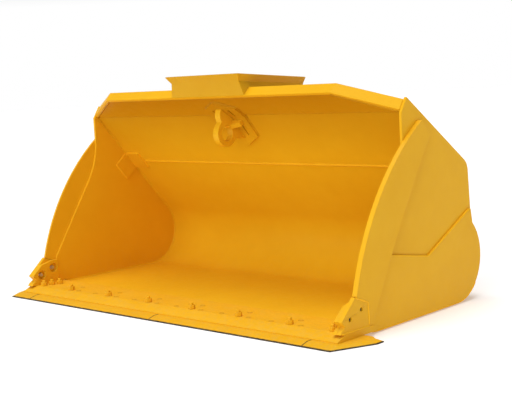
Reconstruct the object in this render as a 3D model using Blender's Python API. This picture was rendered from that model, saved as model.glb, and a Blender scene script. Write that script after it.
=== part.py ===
"""Wheel-loader bucket: a welded shell of bent plate with bolted edges, corner shoes and hinges.

Bucket coordinates, used for every outline below, have y = 0 where the side bars end above the
cutting edge and z = 0 on the inner floor. World space has its origin on the ground, under the
middle of the bucket's bounding box, with +X to the right, +Y to the rear and +Z up.
"""
import math

import bmesh
import bpy
from mathutils import Matrix, Vector

# ---- overall -----------------------------------------------------------------------------
HALF_WIDTH = 1.445        # centre plane to the outer face of a side plate
FLOOR_Z = 0.047           # inner floor above the ground
Y_ORIGIN = 0.640          # bucket y of the world origin
GAP = 0.0003              # kept between touching pieces

# ---- shell -------------------------------------------------------------------------------
SIDE_T = 0.017            # side plate
SHELL_T = 0.020           # floor, heel and back
SHELL_HALF = HALF_WIDTH - SIDE_T - GAP
FLOOR_START_Y = 0.1605    # front end of the floor plate, behind the base edge
HEEL_Y = 1.046            # centre of the heel's bend
HEEL_R = 0.266            # inner radius of the heel's bend
HEEL_STEPS = 14
BACK_LEAN = math.radians(49.0)    # back panel above the horizontal
SEAM_S = 0.552            # seam between the lower shell and the back panel, up the back
BEND_S = 1.026            # bend between the back panel and the brow, up the back
BROW_LEAN = math.radians(32.3)    # brow panel above the horizontal
BROW_LENGTH = 0.257       # bend to the lower edge of the lip
BROW_T = 0.016
LIP_T = 0.024
LIP_WIDTH = 0.0775        # face of the lip, leaning back at 45 degrees
LIP_HALF_LOW = 1.0515     # half width of the lip's level part, at its lower edge
LIP_HALF_HIGH = 1.0645
LIP_END_LOW = (0.543, 1.234)      # lip face where it meets a side plate
LIP_END_HIGH = (0.588, 1.294)
COVER_T = 0.012
COVER_LENGTH = 0.500      # rear cover, down the slope behind the lip

# ---- side plate and what is on it ---------------------------------------------------------
BAR_T = 0.028             # curved side bar and corner plate
BAR_NOSE = 0.009          # blunt nose of the bar, before its outward bevel
BAR_SETBACK = 0.010       # front of the bar's outer face, behind its nose
BAR_FRONT_C = (1.5505, -0.2093)   # centre and radius of the nose's arc
BAR_FRONT_R = 1.6119
BAR_REAR_C = (7.1364, -3.5745)    # centre and radius of the bar's rear arc
BAR_REAR_R = 7.8538
WEAR_T = 0.014            # side wear plate
WEAR_HEEL_C = (1.0760, 0.2515)    # heel of the side wear plate
WEAR_HEEL_R = 0.2885

# ---- cutting edge ------------------------------------------------------------------------
EDGE_TOP_Z = 0.015        # base edge stands this much above the floor
EDGE_BOTTOM_Z = -0.0245
EDGE_HALF = 1.478
EDGE_TIP_Y = -0.1937
EDGE_REAR_Y = 0.160
BOLT_ON_T = 0.0222
BOLT_ON_NOSE = 0.005
BOLT_ON_TIP_Y = -0.288
BOLT_ON_SHOULDER_Y = -0.227
BOLT_ON_REAR_Y = 0.030
EDGE_JOINT_X = 1.286      # joint between a centre edge and its end bit
JOINT_GAP = 0.003         # open joint between two lengths of bolt-on edge
BOLT_PITCH = 0.4156
BOLT_ROW_Y = -0.090
CORNER_BOLTS = ((1.364, -0.090), (1.342, -0.036), (1.320, 0.018))
BOLT_R = 0.0130
HOLE_R = 0.0140
HEAD_R = 0.0215
HEAD_DEPTH = 0.0125
NUT_FLATS = 0.041
NUT_HEIGHT = 0.025
BOLT_END = 0.015          # thread showing above the nut

# ---- corner shoe -------------------------------------------------------------------------
SHOE_BOLTS = ((0.042, 0.126), (-0.065, 0.0864))
SHOE_HOLE_R = 0.0128
SHOE_BOLT_R = 0.0120
COUNTERBORE_R = 0.034
BLOCK_IN_X = 1.418        # inner face, proud of the side plate
BLOCK_FLANGE = 0.007      # metal left behind a counterbore

# ---- hinges ------------------------------------------------------------------------------
LIFT_PIN = (1.463, 0.330)
LIFT_X = 0.560            # centre of a lift hinge
LIFT_GAP = 0.130
TILT_PIN = (1.190, 0.905)
TILT_GAP = 0.110
EAR_T = 0.040
BOSS_R = 0.105
BOSS_T = 0.012            # boss stands this much proud of the ear's outer face
PIN_R = 0.045

COLLECTION = "wheel_loader_bucket"
CUTTERS = "wheel_loader_bucket_cutters"
YELLOW = (0.80, 0.42, 0.018, 1.0)
STEEL = (0.55, 0.54, 0.51, 1.0)

BACK_DIR = Vector((-math.cos(BACK_LEAN), math.sin(BACK_LEAN)))
BACK_OUT = Vector((math.sin(BACK_LEAN), math.cos(BACK_LEAN)))
BACK_START = Vector((HEEL_Y, HEEL_R)) + HEEL_R * BACK_OUT
BROW_DIR = Vector((-math.cos(BROW_LEAN), math.sin(BROW_LEAN)))
BROW_OUT = Vector((math.sin(BROW_LEAN), math.cos(BROW_LEAN)))
LIP_DIR = Vector((math.sqrt(0.5), math.sqrt(0.5)))
LIP_IN = Vector((math.sqrt(0.5), -math.sqrt(0.5)))


# ---- helpers -----------------------------------------------------------------------------
def clear_scene():
    for old in list(bpy.data.objects):
        bpy.data.objects.remove(old)


def collection(name):
    made = bpy.data.collections.new(name)
    bpy.context.scene.collection.children.link(made)
    return made


def back(s, h=0.0):
    """Point on the back panel: s up the slope from the heel, h into the bucket."""
    return tuple(BACK_START + s * BACK_DIR - h * BACK_OUT)


def brow(t, h=0.0):
    """Point on the brow panel: t up from the bend, h into the bucket."""
    return tuple(Vector(back(BEND_S)) + t * BROW_DIR - h * BROW_OUT)


def arc(centre, radius, start, end, steps):
    """Points on an arc, angles in degrees."""
    points = []
    for i in range(steps + 1):
        angle = math.radians(start + (end - start) * i / steps)
        points.append((centre[0] + radius * math.cos(angle), centre[1] + radius * math.sin(angle)))
    return points


def circle(centre, radius, steps):
    return arc(centre, radius, 0.0, 360.0, steps)[:-1]


def arc_at_height(centre, radius, z):
    """Front crossing of a circle at height z."""
    return (centre[0] - math.sqrt(radius ** 2 - (z - centre[1]) ** 2), z)


def world(x, point):
    return Vector((x, point[0] - Y_ORIGIN, point[1] + FLOOR_Z))


def paint(name, colour, roughness, metallic=0.0):
    material = bpy.data.materials.new(name)
    material.use_nodes = True
    shader = material.node_tree.nodes["Principled BSDF"]
    shader.inputs["Base Color"].default_value = colour
    shader.inputs["Roughness"].default_value = roughness
    shader.inputs["Metallic"].default_value = metallic
    return material


def finish(body, colour=YELLOW, roughness=0.42, metallic=0.0, cutter=False):
    """Give a body its material and put it in its collection."""
    if cutter:
        body.hide_render = True
        body.display_type = "WIRE"
        bpy.data.collections[CUTTERS].objects.link(body)
    else:
        body.data.materials.clear()
        body.data.materials.append(paint(body.name + "_paint", colour, roughness, metallic))
        bpy.data.collections[COLLECTION].objects.link(body)
    return body


def mesh_body(name, bm):
    bmesh.ops.recalc_face_normals(bm, faces=bm.faces)
    mesh = bpy.data.meshes.new(name)
    bm.to_mesh(mesh)
    bm.free()
    return bpy.data.objects.new(name, mesh)


def extruded(name, outline, holes, frame, thickness):
    """A filled 2D curve extruded along the frame's third axis, as a welded mesh object."""
    origin, u, v = frame
    w = u.cross(v)
    data = bpy.data.curves.new(name, "CURVE")
    data.dimensions = "2D"
    data.fill_mode = "BOTH"
    data.extrude = thickness / 2
    for loop in [outline, *holes]:
        spline = data.splines.new("POLY")
        spline.points.add(len(loop) - 1)
        for point, place in zip(spline.points, loop):
            point.co = (place[0], place[1], 0.0, 1.0)
        spline.use_cyclic_u = True
    curve = bpy.data.objects.new(name + "_outline", data)
    bpy.context.scene.collection.objects.link(curve)
    turn = Matrix((u, v, w)).transposed().to_4x4()
    curve.matrix_world = Matrix.Translation(origin + w * thickness / 2) @ turn
    bpy.context.view_layer.update()
    evaluated = curve.evaluated_get(bpy.context.evaluated_depsgraph_get())
    mesh = bpy.data.meshes.new_from_object(evaluated)
    bm = bmesh.new()
    bm.from_mesh(mesh)
    bmesh.ops.remove_doubles(bm, verts=bm.verts, dist=1e-5)
    bmesh.ops.transform(bm, matrix=curve.matrix_world, verts=bm.verts)
    bpy.data.objects.remove(curve)
    bpy.data.curves.remove(data)
    bpy.data.meshes.remove(mesh)
    return mesh_body(name, bm)


def side_slab(name, outline, x_low, x_high, holes=()):
    """A plate that stands fore and aft, between two X planes."""
    frame = (Vector((x_low, -Y_ORIGIN, FLOOR_Z)), Vector((0, 1, 0)), Vector((0, 0, 1)))
    return extruded(name, outline, holes, frame, x_high - x_low)


def mirrored_slab(name, side, outline, x_in, x_out, holes=()):
    """A side_slab on the right (side = 1) or the left (side = -1)."""
    low, high = sorted((side * x_in, side * x_out))
    return side_slab(name, outline, low, high, holes)


def loft(name, rings):
    """A closed body through rings of equal point count, with flat ends."""
    bm = bmesh.new()
    loops = [[bm.verts.new(point) for point in ring] for ring in rings]
    count = len(loops[0])
    for lower, upper in zip(loops, loops[1:]):
        for i in range(count):
            j = (i + 1) % count
            bm.faces.new((lower[i], lower[j], upper[j], upper[i]))
    bm.faces.new(loops[0])
    bm.faces.new(loops[-1])
    bmesh.ops.triangulate(bm, faces=bm.faces)
    return mesh_body(name, bm)


def turned(name, rings, axis_point, axis, steps, flats=False):
    """A body of revolution or a prism, from (radius, distance along the axis) pairs."""
    turn = axis.to_track_quat("Z", "Y").to_matrix()
    start = math.pi / steps if flats else 0.0
    loops = []
    for radius, height in rings:
        loop = []
        for i in range(steps):
            angle = start + 2 * math.pi * i / steps
            local = Vector((radius * math.cos(angle), radius * math.sin(angle), height))
            loop.append(axis_point + turn @ local)
        loops.append(loop)
    return loft(name, loops)


def boolean(body, other, operation):
    modifier = body.modifiers.new(other.name, "BOOLEAN")
    modifier.operation = operation
    modifier.object = other
    modifier.solver = "EXACT"


def side_name(side):
    return "right" if side > 0 else "left"


# ---- shell -------------------------------------------------------------------------------
def heel_arc(radius, first, last):
    """Part of the heel's bend, between two of its stations, at some radius."""
    lean = 90.0 - math.degrees(BACK_LEAN)
    stations = arc((HEEL_Y, HEEL_R), radius, -90.0, lean, HEEL_STEPS)
    return stations[first:last + 1]


def shell_strip(inner, thickness):
    """Outline of a bent plate from its inner surface, given as (point, outward normal)."""
    outer = [tuple(Vector(point) + thickness * normal) for point, normal in reversed(inner)]
    return [point for point, _ in inner] + outer


def lower_shell():
    """Floor, heel and the lower part of the back, one rolled plate."""
    inner = [((FLOOR_START_Y, 0.0), Vector((0, -1)))]
    for point in heel_arc(HEEL_R, 0, HEEL_STEPS):
        inner.append((point, (Vector(point) - Vector((HEEL_Y, HEEL_R))).normalized()))
    inner.append((back(SEAM_S), BACK_OUT))
    outline = shell_strip(inner, SHELL_T)
    return finish(side_slab("floor_and_heel_plate", outline, -SHELL_HALF, SHELL_HALF))


def back_panel():
    inner = [(back(SEAM_S + GAP), BACK_OUT), (back(BEND_S - GAP), BACK_OUT)]
    outline = shell_strip(inner, SHELL_T)
    return finish(side_slab("back_plate", outline, -SHELL_HALF, SHELL_HALF))


def brow_panel():
    """Upper panel, leaning further forward, with its corners cut off."""
    front_t = BROW_LENGTH - LIP_T - 0.0045
    front_x = LIP_HALF_LOW - 0.008
    start_t = 0.0055        # clears the upper edge of the back panel, outside the bend
    start_x = SHELL_HALF - 0.0035
    outline = [(-start_x, start_t), (start_x, start_t), (front_x, front_t), (-front_x, front_t)]
    u = Vector((1, 0, 0))
    v = Vector((0, *BROW_DIR))
    origin = world(0.0, brow(0.0, -BROW_T))
    body = extruded("brow_plate", outline, [], (origin, u, v), BROW_T)
    return finish(body)


def lip_section(x, low, high, thickness):
    """Lip section at one station: face points and the matching points behind the face."""
    rear_low = Vector(low) - thickness * BROW_DIR
    rear_high = Vector(high) + thickness * LIP_IN
    return [world(x[0], low), world(x[1], high), world(x[1], rear_high), world(x[0], rear_low)]


def top_lip():
    """Flat bar along the top edge, level in the middle and running down to the side plates."""
    low = brow(BROW_LENGTH)
    high = tuple(Vector(low) + LIP_WIDTH * LIP_DIR)
    end = SHELL_HALF
    oblique = LIP_T * 1.16
    rings = [lip_section((-end, -end), LIP_END_LOW, LIP_END_HIGH, oblique),
             lip_section((-LIP_HALF_LOW, -LIP_HALF_HIGH), low, high, LIP_T),
             lip_section((LIP_HALF_LOW, LIP_HALF_HIGH), low, high, LIP_T),
             lip_section((end, end), LIP_END_LOW, LIP_END_HIGH, oblique)]
    return finish(loft("top_lip", rings))


def cover_frame():
    """Start, direction and outward normal of the rear cover's upper surface."""
    low = Vector(brow(BROW_LENGTH))
    start = low + LIP_WIDTH * LIP_DIR + (LIP_T + 0.002) * LIP_IN
    end = Vector(LIP_END_HIGH) + (LIP_T * 1.16 + 0.002) * LIP_IN
    direction = (end - start).normalized()
    return start, direction, Vector((-direction.y, direction.x)), (end - start).length


def cover_plate():
    """Sloping cover behind the lip, which closes the top box with the plate below."""
    start, direction, normal, end_t = cover_frame()
    corner_x = LIP_HALF_HIGH - 0.010
    outline = [(-corner_x, 0.0), (corner_x, 0.0), (SHELL_HALF, end_t + 0.004),
               (SHELL_HALF, COVER_LENGTH), (-SHELL_HALF, COVER_LENGTH),
               (-SHELL_HALF, end_t + 0.004)]
    origin = world(0.0, start - COVER_T * normal)
    body = extruded("top_cover_plate", outline, [],
                    (origin, Vector((1, 0, 0)), Vector((0, *direction))), COVER_T)
    return finish(body)


def box_rear_plate():
    """Plate that closes the top box, from the cover down to the back panel."""
    start, direction, normal, _ = cover_frame()
    top = start + (COVER_LENGTH - 0.013) * direction - (COVER_T + GAP) * normal
    height = (top - Vector(back(0.0))).dot(BACK_OUT) - SHELL_T - GAP
    across = Vector((-BACK_OUT.y, BACK_OUT.x)) * COVER_T
    foot = top - height * BACK_OUT
    lead = across.dot(normal) / BACK_OUT.dot(normal)
    rear_top = top + across - lead * BACK_OUT
    outline = [tuple(foot), tuple(foot + across), tuple(rear_top), tuple(top)]
    return finish(side_slab("top_box_plate", outline, -SHELL_HALF, SHELL_HALF))


# ---- sides -------------------------------------------------------------------------------
def side_plate_outline():
    slope = math.radians(56.7)
    foot = (0.0868, EDGE_TOP_Z + GAP)
    low = (0.0868, 0.1975)
    front_y = 0.5385
    corner_z = low[1] + (front_y - low[0]) * math.tan(slope)
    radius = 0.56
    run = radius * math.tan((math.pi / 2 - slope) / 2)
    rounded = arc((front_y - radius, corner_z + run), radius,
                  math.degrees(slope) - 90.0, 0.0, 6)
    corner = (1.2545, 0.851)
    crown = [(front_y, 1.2154), (0.598, 1.305), (corner[0] - 0.032, corner[1] + 0.023),
             (corner[0] - 0.008, corner[1] - 0.002), (corner[0] + 0.004, corner[1] - 0.035)]
    hip = [(1.2815, 0.4866), (1.3060, 0.4250), (1.3230, 0.3550), (1.3310, 0.2900)]
    radius = HEEL_R + SHELL_T - GAP
    heel = heel_arc(radius, 0, 9)[::-1]
    step = [(FLOOR_START_Y, HEEL_R - radius), (FLOOR_START_Y, EDGE_TOP_Z + GAP)]
    return [foot, low, *rounded, *crown, *hip, *heel, *step]


def side_plate(side):
    name = "side_plate_" + side_name(side)
    return finish(mirrored_slab(name, side, side_plate_outline(), HALF_WIDTH - SIDE_T, HALF_WIDTH))


def bar_outline(setback):
    """Curved bar: front arc, cut top end, rear arc, and a lower end round the corner plate."""
    top_z, bottom_z = 1.1600, 0.2045
    steps = 14
    front = []
    for i in range(steps + 1):
        z = bottom_z + (top_z - bottom_z) * i / steps
        y, _ = arc_at_height(BAR_FRONT_C, BAR_FRONT_R, z)
        front.append((y + setback, z))
    rear = bar_rear_edge(1.063, 0.160, 10)
    foot = [(0.160, 0.049), (0.155, EDGE_TOP_Z + GAP), (0.1135, EDGE_TOP_Z + GAP),
            (0.1075, 0.1560)]
    return [*front, *rear, *foot]


def bar_rear_edge(z_high, z_low, steps, shift=0.0):
    points = []
    for i in range(steps + 1):
        z = z_high + (z_low - z_high) * i / steps
        y, _ = arc_at_height(BAR_REAR_C, BAR_REAR_R, z)
        points.append((y + shift, z))
    return points


def side_bar(side):
    """Bar along the side's front, its front edge bevelled outward from a blunt nose."""
    rings = []
    for x, setback in ((GAP, 0.0), (BAR_NOSE, 0.0), (BAR_T, BAR_SETBACK)):
        rings.append([world(side * (HALF_WIDTH + x), point) for point in bar_outline(setback)])
    return finish(loft("side_bar_" + side_name(side), rings))


def side_wear_plate(side):
    """Thin plate over the lower rear of the side plate, with a stepped top edge."""
    front = bar_rear_edge(0.3825, 0.160, 6, 0.0012)
    nose = [(0.1616, 0.049), (0.1616, WEAR_HEEL_C[1] - WEAR_HEEL_R)]
    heel = arc(WEAR_HEEL_C, WEAR_HEEL_R, -90.0, 46.0, 16)
    top = [(1.258, 0.5525), (0.775, 0.3205), (0.752, 0.3150)]
    outline = [*front, *nose, *heel, *top]
    name = "side_wear_plate_" + side_name(side)
    return finish(mirrored_slab(name, side, outline, HALF_WIDTH + GAP, HALF_WIDTH + WEAR_T))


# ---- corner shoe -------------------------------------------------------------------------
SHOE_FOOT = [(-0.162, EDGE_TOP_Z + GAP), (-0.146, 0.034), (-0.114, 0.0525), (-0.146, 0.0855)]


def corner_plate(side):
    """Outer plate of the corner shoe, in line with the side bar above it."""
    outline = [(0.1130, EDGE_TOP_Z + GAP), (0.1070, 0.1555), (-0.0135, 0.2030), *SHOE_FOOT[::-1]]
    holes = [circle(place, SHOE_HOLE_R, 16) for place in SHOE_BOLTS]
    name = "corner_plate_" + side_name(side)
    return finish(mirrored_slab(name, side, outline, HALF_WIDTH + GAP, HALF_WIDTH + BAR_T, holes))


def corner_block(side):
    """Inner block of the shoe, flush ahead of the side plate, with counterbored bolt holes."""
    outline = [(0.0863, EDGE_TOP_Z + GAP), (0.0863, 0.1815), (0.0420, 0.1810), (-0.0620, 0.1590),
               *SHOE_FOOT[::-1]]
    holes = [circle(place, SHOE_HOLE_R, 16) for place in SHOE_BOLTS]
    name = "corner_block_" + side_name(side)
    body = mirrored_slab(name, side, outline, BLOCK_IN_X, HALF_WIDTH, holes)
    for number, place in enumerate(SHOE_BOLTS, 1):
        depth = HALF_WIDTH - BLOCK_IN_X - BLOCK_FLANGE
        start = world(side * (BLOCK_IN_X + depth), place)
        rings = [(COUNTERBORE_R, 0.0), (COUNTERBORE_R, depth + 0.02)]
        cutter = turned(f"{name}_counterbore_{number}", rings, start, Vector((-side, 0, 0)), 24)
        finish(cutter, cutter=True)
        boolean(body, cutter, "DIFFERENCE")
    return finish(body)


def shoe_bolt(side, number, place):
    """Hexagon head bolt from inside the bucket, its point sunk in the corner plate."""
    seat_x = HALF_WIDTH - BLOCK_FLANGE - GAP
    tip_x = HALF_WIDTH + BAR_T - 0.010
    head = 0.0115
    steps = 24
    reach = tip_x - seat_x
    rings = [(0.0180, 0.0), (0.0195, 0.0015), (0.0195, head), (SHOE_BOLT_R, head),
             (SHOE_BOLT_R, head + reach - 0.002), (SHOE_BOLT_R - 0.002, head + reach)]
    start = world(side * (seat_x - head), place)
    name = f"corner_bolt_{side_name(side)}_{number}"
    return finish(turned(name, rings, start, Vector((side, 0, 0)), steps), STEEL, 0.38, 0.9)


# ---- cutting edge ------------------------------------------------------------------------
def bolt_places():
    """Plow bolts, from left to right along the row and then back along each end bit."""
    row = [((i - 2.5) * BOLT_PITCH, BOLT_ROW_Y) for i in range(6)]
    left = [(-x, y) for x, y in CORNER_BOLTS]
    return left + row + list(CORNER_BOLTS)


def drill(body, places, bottom_z, radius, countersunk):
    """Cut bolt holes, from below, with a countersink for the bolt head where asked."""
    for number, (x, y) in enumerate(places, 1):
        rings = [(radius, -0.010), (radius, 0.090)]
        if countersunk:
            rings = [(HEAD_R + 0.0005, -0.010), (HEAD_R + 0.0005, 0.002),
                     (radius, HEAD_DEPTH + 0.0015), (radius, 0.090)]
        start = world(x, (y, bottom_z))
        cutter = turned(f"{body.name}_hole_{number}", rings, start, Vector((0, 0, 1)), 16)
        finish(cutter, cutter=True)
        boolean(body, cutter, "DIFFERENCE")


def base_edge():
    """Thick bevelled edge plate that the shell, the shoes and the bolt-on edges share."""
    outline = [(EDGE_TIP_Y, EDGE_BOTTOM_Z), (EDGE_REAR_Y, EDGE_BOTTOM_Z), (EDGE_REAR_Y, 0.0),
               (EDGE_REAR_Y - 0.022, EDGE_TOP_Z), (-0.119, EDGE_TOP_Z), (EDGE_TIP_Y, -0.0185)]
    body = side_slab("base_edge", outline, -EDGE_HALF, EDGE_HALF)
    drill(body, bolt_places(), EDGE_BOTTOM_Z, HOLE_R, False)
    return finish(body)


def bolt_on(name, bottom, top, places):
    """Bolt-on edge from its plan at the bottom and at the top of the bevel."""
    low = -FLOOR_Z
    rings = []
    for plan, z in ((bottom, low), (bottom, low + BOLT_ON_NOSE), (top, low + BOLT_ON_T)):
        rings.append([world(x, (y, z)) for x, y in plan])
    body = loft(name, rings)
    drill(body, places, low, HOLE_R, True)
    return finish(body)


def centre_edge(side):
    low_x, high_x = JOINT_GAP / 2, EDGE_JOINT_X
    bottom = [(side * low_x, BOLT_ON_TIP_Y), (side * high_x, BOLT_ON_TIP_Y),
              (side * high_x, BOLT_ON_REAR_Y), (side * low_x, BOLT_ON_REAR_Y)]
    top = [(side * low_x, BOLT_ON_SHOULDER_Y), (side * high_x, BOLT_ON_SHOULDER_Y),
           (side * high_x, BOLT_ON_REAR_Y), (side * low_x, BOLT_ON_REAR_Y)]
    places = [(side * (i + 0.5) * BOLT_PITCH, BOLT_ROW_Y) for i in range(3)]
    return bolt_on("centre_edge_" + side_name(side), bottom, top, places)


def end_bit(side):
    """Swept corner of the bolt-on edge, bevelled along its front and its outer edge."""
    x0 = EDGE_JOINT_X + JOINT_GAP
    bottom = [(x0, BOLT_ON_TIP_Y), (1.4955, BOLT_ON_TIP_Y), (1.6190, -0.014), (1.6180, 0.048),
              (1.5600, 0.052), (x0, 0.052)]
    top = [(x0, BOLT_ON_SHOULDER_Y), (1.4960, BOLT_ON_SHOULDER_Y), (1.5800, -0.035),
           (1.5770, 0.021), (1.5400, 0.052), (x0, 0.052)]
    bottom = [(side * x, y) for x, y in bottom]
    top = [(side * x, y) for x, y in top]
    places = [(side * x, y) for x, y in CORNER_BOLTS]
    return bolt_on("end_bit_" + side_name(side), bottom, top, places)


def plow_bolt(number, place):
    """Countersunk bolt from below, through the bolt-on edge and the base edge."""
    x, y = place
    grip = FLOOR_Z + EDGE_TOP_Z
    top = grip + NUT_HEIGHT + BOLT_END
    rings = [(HEAD_R - 0.0025, 0.0015), (HEAD_R, 0.0025), (BOLT_R, HEAD_DEPTH + 0.0015),
             (BOLT_R, top - 0.002), (BOLT_R - 0.002, top)]
    body = turned(f"plow_bolt_{number:02d}", rings, world(x, (y, -FLOOR_Z)), Vector((0, 0, 1)), 16)
    return finish(body)


def nut(number, place):
    x, y = place
    corner = NUT_FLATS / math.sqrt(3)
    rings = [(corner, 0.0), (corner, NUT_HEIGHT - 0.003), (corner * 0.9, NUT_HEIGHT)]
    start = world(x, (y, EDGE_TOP_Z + GAP))
    name = f"edge_nut_{number:02d}"
    body = turned(name, rings, start, Vector((0, 0, 1)), 6, flats=True)
    bore = turned(name + "_bore", [(BOLT_R + 0.0004, -0.01), (BOLT_R + 0.0004, 0.06)], start,
                  Vector((0, 0, 1)), 16)
    finish(bore, cutter=True)
    boolean(body, bore, "DIFFERENCE")
    return finish(body)


# ---- inside ------------------------------------------------------------------------------
def corner_gusset(side):
    """Folded doubler in the corner between back and side, across the end of the seam."""
    thick = 0.012
    on_side, on_back = 0.137, 0.155
    low_s, high_s = 0.483, 0.640
    clear = 0.0006
    outline = [(clear, clear), (on_back, clear), (on_back, clear + thick),
               (clear + thick, clear + thick), (clear + thick, on_side), (clear, on_side)]
    start = world(side * SHELL_HALF, back(low_s))
    inward = Vector((-side, 0, 0))
    away = -Vector((0, *BACK_OUT))
    upward = inward.cross(away)
    length = high_s - low_s
    if upward.z < 0:
        start = world(side * SHELL_HALF, back(high_s))
    return finish(extruded("corner_gusset_" + side_name(side), outline, [],
                           (start, inward, away), length))


PAD_T = 0.018
PAD_HALF = 0.146
PAD_LOW_TIP_S = 0.748
PAD_LOW_SHOULDER_S = 0.838
PAD_HIGH_SHOULDER_T = 0.108
PAD_HIGH_TIP_T = 0.196
SLOT_X = 0.073            # slot welds, beside the lug
SLOT_HALF = 0.0055
SLOT_BACK = (0.855, 0.946)
SLOT_BROW = (0.020, 0.100)


def pad_surface(height):
    """Fold point of the pad at a height above the panels."""
    bisector = (BACK_OUT + BROW_OUT) / (1.0 + BACK_OUT.dot(BROW_OUT))
    return tuple(Vector(back(BEND_S)) - height * bisector)


def eye_pad():
    """Long hexagonal doubler, folded over the bend between back and brow."""
    def ring(height):
        fold = pad_surface(height)
        return [world(0.0, back(PAD_LOW_TIP_S, height)),
                world(PAD_HALF, back(PAD_LOW_SHOULDER_S, height)), world(PAD_HALF, fold),
                world(PAD_HALF, brow(PAD_HIGH_SHOULDER_T, height)),
                world(0.0, brow(PAD_HIGH_TIP_T, height)),
                world(-PAD_HALF, brow(PAD_HIGH_SHOULDER_T, height)), world(-PAD_HALF, fold),
                world(-PAD_HALF, back(PAD_LOW_SHOULDER_S, height))]

    bm = bmesh.new()
    low = [bm.verts.new(point) for point in ring(0.0008)]
    high = [bm.verts.new(point) for point in ring(PAD_T)]
    for loop in (low, high):
        bm.faces.new((loop[7], loop[0], loop[1], loop[2], loop[6]))
        bm.faces.new((loop[6], loop[2], loop[3], loop[4], loop[5]))
    for i in range(8):
        j = (i + 1) % 8
        bm.faces.new((low[i], low[j], high[j], high[i]))
    body = mesh_body("eye_pad", bm)
    for side in (-1, 1):
        for label, panel, stretch in (("low", back, SLOT_BACK), ("high", brow, SLOT_BROW)):
            slot = pad_slot(f"eye_pad_slot_{side_name(side)}_{label}", side, panel, stretch)
            finish(slot, cutter=True)
            boolean(body, slot, "DIFFERENCE")
    return finish(body)


def pad_slot(name, side, panel, stretch):
    """Cutter for one long slot with round ends, through the pad."""
    low, high = stretch
    rings = []
    for height in (-0.010, 0.040):
        ring = []
        for end, first in ((high - SLOT_HALF, 0.0), (low + SLOT_HALF, 180.0)):
            for across, along in arc((0.0, 0.0), SLOT_HALF, first, first + 180.0, 6):
                ring.append(world(side * SLOT_X + across, panel(end + along, height)))
        rings.append(ring)
    return loft(name, rings)


EYE_T = 0.048
EYE_HALF = EYE_T / 2
EYE_S = 0.9756            # ring centre, up the back
EYE_H = 0.1243            # ring centre, off the back
EYE_RING_R = 0.090
EYE_HOLE_R = 0.054


def lifting_eye():
    """Lug across the fold of the pad: a ring on a neck with a flared root."""
    root = PAD_T + 0.0005
    centre = Vector(back(EYE_S, EYE_H))
    facing = math.degrees(math.atan2(-BACK_OUT.y, -BACK_OUT.x))
    ring = arc(tuple(centre), EYE_RING_R, facing + 112.0, facing - 88.0, 24)
    outline = [back(0.828, root), back(0.846, root + 0.018), back(0.868, root + 0.043), *ring,
               back(1.0690, 0.1095), brow(0.0960, 0.0760), brow(0.1150, 0.0500),
               brow(0.1200, root), pad_surface(root)]
    hole = circle(tuple(centre), EYE_HOLE_R, 28)
    body = side_slab("lifting_eye", outline, -EYE_HALF, EYE_HALF, [hole])
    for side in (-1, 1):
        rib = eye_rib(side)
        finish(rib, cutter=True)
        boolean(body, rib, "UNION")
    return finish(body)


def eye_rib(side):
    """Triangular rib between the lug's face and the pad."""
    s, thick, reach, height = 0.966, 0.034, 0.076, 0.054
    low = PAD_T + 0.0006
    near, far = EYE_HALF - 0.010, EYE_HALF + reach
    rings = []
    for place in (s, s + thick):
        rings.append([world(side * near, back(place, low)), world(side * far, back(place, low)),
                      world(side * far, back(place, low + 0.026)),
                      world(side * near, back(place, low + height))])
    return loft("lifting_eye_rib_" + side_name(side), rings)


# ---- spill guard -------------------------------------------------------------------------
GUARD_T = 0.012
GUARD_LOW_X, GUARD_MID_X, GUARD_TOP_X = 0.3425, 0.3180, 0.3470


def guard_ring(x_low, x_mid, x_top, low, waist, rim, inset, lift):
    """Section of the hood: outer face from foot to rim, then the inner face back down."""
    in_y, in_x = inset
    sign = math.copysign(1.0, x_low)
    ring = [world(x_low, low), world(x_mid, waist), world(x_top, rim)]
    ring += [world(x_top - sign * in_x, (rim[0] + in_y, rim[1] + lift)),
             world(x_mid - sign * in_x, (waist[0] + in_y, waist[1])),
             world(x_low - sign * in_x, (low[0] + in_y * 0.97, low[1] + in_y * 0.97))]
    return ring


def spill_guard():
    """Hood over the tilt link: front wall on the lip, two wings and an outward rim."""
    start, direction, normal, _ = cover_frame()
    lip_low, lip_high = Vector(brow(BROW_LENGTH)), Vector(brow(BROW_LENGTH)) + LIP_WIDTH * LIP_DIR
    clear = 0.0008
    foot = tuple(lip_low + 0.003 * LIP_DIR - clear * LIP_IN)
    crest = tuple(lip_high + 0.0015 * LIP_DIR - clear * LIP_IN)
    tail = tuple(start + 0.490 * direction + clear * normal)
    waist, rim = (0.3385, 1.449), (0.3070, 1.495)
    crest_waist, crest_rim = (0.425, 1.4440), (0.425, 1.4875)
    tail_waist, tail_rim = (0.990, 1.411), (0.984, 1.4500)
    rings = []
    for side in (-1, 1):
        low_x, mid_x, top_x = side * GUARD_LOW_X, side * GUARD_MID_X, side * GUARD_TOP_X
        corner = guard_ring(low_x, mid_x, top_x, foot, waist, rim, (GUARD_T, GUARD_T), 0.004)
        head = guard_ring(low_x, mid_x, top_x, crest, crest_waist, crest_rim, (0.0, GUARD_T), 0.004)
        end = guard_ring(low_x, mid_x, top_x, tail, tail_waist, tail_rim, (0.0, GUARD_T), 0.004)
        rings += [end, head, corner][::-side]
    bm = bmesh.new()
    loops = [[bm.verts.new(point) for point in ring] for ring in rings]
    for lower, upper in zip(loops, loops[1:]):
        for i in range(6):
            j = (i + 1) % 6
            bm.faces.new((lower[i], lower[j], upper[j], upper[i]))
    for loop in (loops[0], loops[-1]):
        bm.faces.new((loop[0], loop[1], loop[4], loop[5]))
        bm.faces.new((loop[1], loop[2], loop[3], loop[4]))
    bmesh.ops.triangulate(bm, faces=bm.faces)
    return finish(mesh_body("spill_guard", bm))


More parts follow.
